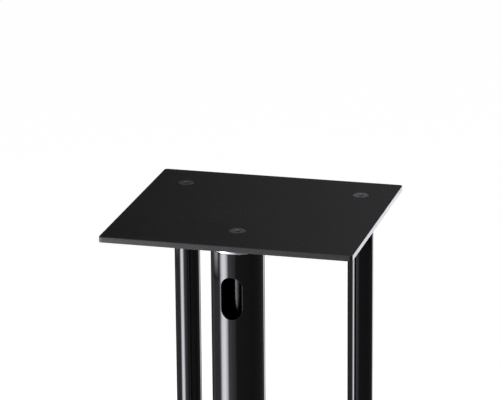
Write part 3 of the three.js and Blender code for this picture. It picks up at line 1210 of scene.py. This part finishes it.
def place_lamp(name, power, degrees, distance, width, low, high):
    """An upright soft lamp that faces the wide tube. The cards stand for it in the gloss."""
    data = bpy.data.lights.new(name, "AREA")
    data.shape = "RECTANGLE"
    data.size = width
    data.size_y = high - low
    data.energy = power
    lamp = make_object(name, data)
    away = bearing(degrees)
    lamp.location = MAIN_AXIS + away * distance + Vector((0.0, 0.0, (low + high) / 2))
    lamp.rotation_euler = away.to_track_quat("Z", "Y").to_euler()
    lamp.visible_camera = False
    lamp.visible_glossy = False


def seen_directly(tree):
    """One for rays that look at the studio itself, from the camera, a mirror or a glass, and else nought."""
    path = add(tree, "ShaderNodeLightPath")
    seen = sum_up(tree, "MAXIMUM", path.outputs["Is Camera Ray"], path.outputs["Is Glossy Ray"])
    return sum_up(tree, "MAXIMUM", seen, path.outputs["Is Transmission Ray"])


def clear_behind(tree, shader):
    """A shader that can be seen through from the back of its faces."""
    behind = add(tree, "ShaderNodeNewGeometry").outputs["Backfacing"]
    clear = add(tree, "ShaderNodeBsdfTransparent").outputs[0]
    return add(tree, "ShaderNodeMixShader", {0: behind, 1: shader, 2: clear}).outputs[0]


def floor_material(colour):
    """A plain pale floor that keeps shadows and can be seen through from below."""
    material = bpy.data.materials.new("pale floor")
    tree = cleared_tree(material)
    diffuse = add(tree, "ShaderNodeBsdfDiffuse", {"Color": opaque(colour)})
    strength = sum_up(tree, "MULTIPLY", seen_directly(tree), FLOOR_GLOW)
    glow = add(tree, "ShaderNodeEmission", {"Color": WHITE, "Strength": strength})
    lit = add(tree, "ShaderNodeAddShader", {0: diffuse.outputs[0], 1: glow.outputs[0]})
    show(tree, clear_behind(tree, lit.outputs[0]))
    return material


def place_floor(colour):
    shape = bmesh.new()
    bmesh.ops.create_circle(shape, cap_ends=True, cap_tris=False, segments=64, radius=FLOOR_RADIUS)
    for face in shape.faces:
        if face.normal.z < 0:
            face.normal_flip()
    make_mesh_object(shape, "studio_floor", floor_material(colour))


WALL_DISTANCE = 1.0
KEY_DISTANCE = 0.78
RIM_DISTANCE = 0.98
SIDE_DISTANCE = 0.95

# What the gloss surfaces mirror, as (bearing in degrees, brightness)
LOW_WALL_TONES = (
    *((-180, 0.05), (-152, 0.05), (-139, 0.11), (-128, 0.30), (-118, 0.19), (-110, 0.27), (-95, 0.35)),
    *((-42, 1.00), (-37, 1.00), (-33, 0.83), (-29, 0.83), (-25, 0.62), (-17, 0.55), (-13, 0.45)),
    *((-9, 0.20), (-5, 0.13), (45, 0.13), (60, 0.11), (104, 0.115), (124, 0.13), (134, 0.33)),
    *((150, 0.20), (155, 0.05), (180, 0.05)),
)
MIDDLE_WALL_TONES = (
    *((-180, 0.05), (-130, 0.05), (-124, 1.00), (-36, 1.00), (-28.5, 0.82), (-20, 0.73), (-11, 0.46)),
    *((-2.5, 0.32), (15, 0.28), (24, 0.19), (32.5, 0.11), (46, 0.033), (104, 0.033), (134, 0.30)),
    *((160, 0.30), (165, 0.05), (180, 0.05)),
)
HIGH_WALL_TONES = (
    *((-180, 0.070), (-170, 0.030), (-120, 0.06), (-64, 0.16), (0, 0.10), (120, 0.08)),
    *((170, 0.120), (180, 0.070)),
)
KEY_TONES = (
    *((-91, 0.00), (-89, 0.55), (-83, 0.90), (-77, 7.10), (-72, 11.70), (-66, 13.20), (-61, 14.40)),
    *((-56, 13.30), (-51.5, 10.80), (-47, 7.10), (-42, 1.85), (-39, 0.00)),
)
RIM_TONES = ((134, 0.0), (139, 3.0), (151, 3.0), (155, 0.0))
SIDE_TONES = ((-126, 0.0), (-119, 1.3), (-112, 3.0), (-103, 4.4), (-96, 4.4), (-90, 0.0))

# Each wall or ring that the gloss mirrors: name, distance at its foot and at its top, the two heights,
# rise of the fade at its foot, tones, glow at the foot
WALLS = (
    ("floor_ring", 0.30, WALL_DISTANCE, 0.001, 0.019, 0.0095, LOW_WALL_TONES, 0.95),
    ("rim_ring", 0.62, RIM_DISTANCE, 0.0105, 0.021, 0.0, RIM_TONES, 0.0),
    ("low_wall", WALL_DISTANCE, WALL_DISTANCE, 0.019, 0.254, 0.0, LOW_WALL_TONES, 0.0),
    ("middle_wall", WALL_DISTANCE, WALL_DISTANCE, 0.254, 0.75, 0.0, MIDDLE_WALL_TONES, 0.0),
    ("high_wall", WALL_DISTANCE, WALL_DISTANCE, 0.75, 1.7, 0.0, HIGH_WALL_TONES, 0.0),
)

# Each bright card, a blind of flat slats that glow above and are clear below, so that the upright surfaces
# mirror it and the flat plates don't: name, distance, the two heights, rise of the fade at its foot, tones,
# glow at the foot
CARDS = (
    ("key_card", KEY_DISTANCE, 0.02, 0.335, 0.0, KEY_TONES, 0.0),
    ("rim_card", RIM_DISTANCE, 0.021, 0.75, 0.0, RIM_TONES, 0.0),
    ("side_card", SIDE_DISTANCE, 0.232, 0.75, 0.045, SIDE_TONES, -1.0),
)
SLAT_WIDTH = 0.012
SLAT_STEP = 0.002
COOL_WHITE = (0.98, 0.985, 1.04)
FOOT_WHITE = (0.9, 0.9, 0.9, 1.0)
REFLECTOR_SIDES = 144  # in a full turn


def reflector_material(name, low, fade, tones, foot_glow, slatted):
    """A glow that changes with the bearing from the wide tube.

    Over the fade at its foot it goes to white by a positive foot glow, or to nothing by a negative one.
    """
    material = bpy.data.materials.new(name)
    tree = cleared_tree(material)
    place = add(tree, "ShaderNodeTexCoord").outputs["Object"]
    offset = add(tree, "ShaderNodeVectorMath", {0: place, 1: MAIN_AXIS}, operation="SUBTRACT")
    parts = add(tree, "ShaderNodeSeparateXYZ", {0: offset.outputs[0]}).outputs
    towards, right = level_axes()

    def along(direction):
        first = sum_up(tree, "MULTIPLY", parts["X"], direction.x)
        second = sum_up(tree, "MULTIPLY", parts["Y"], direction.y)
        return sum_up(tree, "ADD", first, second)

    turned_by = sum_up(tree, "ARCTAN2", along(right), along(towards))
    ramp = add(tree, "ShaderNodeValToRGB", {0: between(tree, turned_by, -math.pi, math.pi, 0.0, 1.0)})
    peak = max(tone for _, tone in tones)
    stops = ramp.color_ramp.elements
    while len(stops) < len(tones):
        stops.new(0.5)
    for stop, (degrees, tone) in zip(stops, tones):
        stop.position = (degrees + 180) / 360
        stop.color = opaque([tone / peak * channel for channel in COOL_WHITE])
    colour, strength = ramp.outputs[0], peak
    if fade > 0:
        foot = between(tree, parts["Z"], low, low + fade, 1.0, 0.0)
        if foot_glow > 0:
            colour = mixed_colour(tree, sum_up(tree, "MULTIPLY", foot, foot_glow), colour, FOOT_WHITE)
        else:
            strength = sum_up(tree, "MULTIPLY", sum_up(tree, "SUBTRACT", 1.0, foot), peak)
    glow = add(tree, "ShaderNodeEmission", {"Color": colour, "Strength": strength}).outputs[0]
    show(tree, clear_behind(tree, glow) if slatted else glow)
    return material


def place_reflector(name, outlines, tones, material):
    """Spins straight outlines round the wide tube over the tones' bearings, seen only by mirroring surfaces.

    Each outline is two pairs of distance and height.
    """
    first = bearing(tones[0][0])
    swept = math.radians(tones[-1][0]) - math.radians(tones[0][0])
    shape = bmesh.new()
    ends, edges = [], []
    for outline in outlines:
        pair = []
        for distance, level in outline:
            start = MAIN_AXIS + first * distance
            pair.append(shape.verts.new((start.x, start.y, level)))
        ends += pair
        edges.append(shape.edges.new(pair))
    spin(shape, ends + edges, MAIN_AXIS, max(8, round(swept / TURN * REFLECTOR_SIDES)), swept)
    shape.normal_update()
    bmesh.ops.reverse_faces(shape, faces=[face for face in shape.faces if face.normal.z < -0.5])
    band = make_mesh_object(shape, name, material)
    band.visible_camera = False
    band.visible_diffuse = False
    band.visible_transmission = False
    band.visible_volume_scatter = False
    band.visible_shadow = False


def place_reflectors():
    """The walls and rings in soft tones, and the bright cards as blinds of slats."""
    for name, foot_distance, top_distance, low, high, fade, tones, foot_glow in WALLS:
        material = reflector_material(name, low, fade, tones, foot_glow, False)
        place_reflector(name, [((foot_distance, low), (top_distance, high))], tones, material)
    for name, distance, low, high, fade, tones, foot_glow in CARDS:
        material = reflector_material(name, low, fade, tones, foot_glow, True)
        slat_levels = [low + SLAT_STEP * index for index in range(round((high - low) / SLAT_STEP) + 1)]
        slats = [((distance, level), (distance + SLAT_WIDTH, level)) for level in slat_levels]
        place_reflector(name, slats, tones, material)


def light_world(ambient):
    """White where the camera or a mirror looks, and a soft even light otherwise."""
    world = bpy.data.worlds.new("Studio")
    tree = cleared_tree(world)
    strength = between(tree, seen_directly(tree), 0.0, 1.0, ambient, 1.0)
    background = add(tree, "ShaderNodeBackground", {"Color": WHITE, "Strength": strength})
    show(tree, background.outputs[0], "ShaderNodeOutputWorld")
    bpy.context.scene.world = world


class STAND_OT_stage(bpy.types.Operator):
    """Sets up the camera, the floor, the walls that the gloss mirrors, the lamps and the world"""

    bl_idname = "stand.stage"
    bl_label = "Stage"

    def execute(self, context):
        studio = context.scene.studio_settings
        place_camera()
        place_floor(studio.floor)
        place_reflectors()
        place_lamp("Key lamp", studio.key_power, *KEY_LAMP)
        place_lamp("Rim lamp", studio.rim_power, *RIM_LAMP)
        light_world(studio.ambient)
        context.scene.view_settings.view_transform = "Standard"
        return {"FINISHED"}


# ---- Panel, registration and the run ----

OPERATORS = (
    STAND_OT_top_plate,
    STAND_OT_base_plate,
    STAND_OT_main_column,
    STAND_OT_slim_columns,
    STAND_OT_collars,
    STAND_OT_tie_bars,
    STAND_OT_screws,
    STAND_OT_spikes,
    STAND_OT_lock_nuts,
    STAND_OT_floor_discs,
    STAND_OT_stage,
)


class STAND_PT_sidebar(bpy.types.Panel):
    """Lists the stand's pieces and its settings"""

    bl_idname = "STAND_PT_sidebar"
    bl_label = "Speaker Stand"
    bl_space_type = "VIEW_3D"
    bl_region_type = "UI"
    bl_category = "Stand"

    def draw(self, context):
        for operator in OPERATORS:
            self.layout.operator(operator.bl_idname)
        for label in ("stand_sizes", "stand_finishes", "studio_settings"):
            settings = getattr(context.scene, label)
            box = self.layout.box()
            for name in settings.bl_rna.properties.keys():
                if name not in ("rna_type", "name"):
                    box.prop(settings, name)


SETTINGS = {
    "stand_sizes": StandSizes,
    "stand_finishes": StandFinishes,
    "studio_settings": StudioSettings,
}


def register():
    for group in SETTINGS.values():
        bpy.utils.register_class(group)
    for operator in OPERATORS:
        bpy.utils.register_class(operator)
    bpy.utils.register_class(STAND_PT_sidebar)
    for label, group in SETTINGS.items():
        setattr(bpy.types.Scene, label, bpy.props.PointerProperty(type=group))


def unregister():
    for label in SETTINGS:
        delattr(bpy.types.Scene, label)
    bpy.utils.unregister_class(STAND_PT_sidebar)
    for operator in reversed(OPERATORS):
        bpy.utils.unregister_class(operator)
    for group in SETTINGS.values():
        bpy.utils.unregister_class(group)


def main():
    register()
    bpy.ops.stand.top_plate()
    bpy.ops.stand.base_plate()
    bpy.ops.stand.main_column()
    bpy.ops.stand.slim_columns()
    bpy.ops.stand.collars()
    bpy.ops.stand.tie_bars()
    bpy.ops.stand.screws()
    bpy.ops.stand.spikes()
    bpy.ops.stand.lock_nuts()
    bpy.ops.stand.floor_discs()
    bpy.ops.stand.stage()
    bpy.context.view_layer.update()


if __name__ == "__main__":
    main()
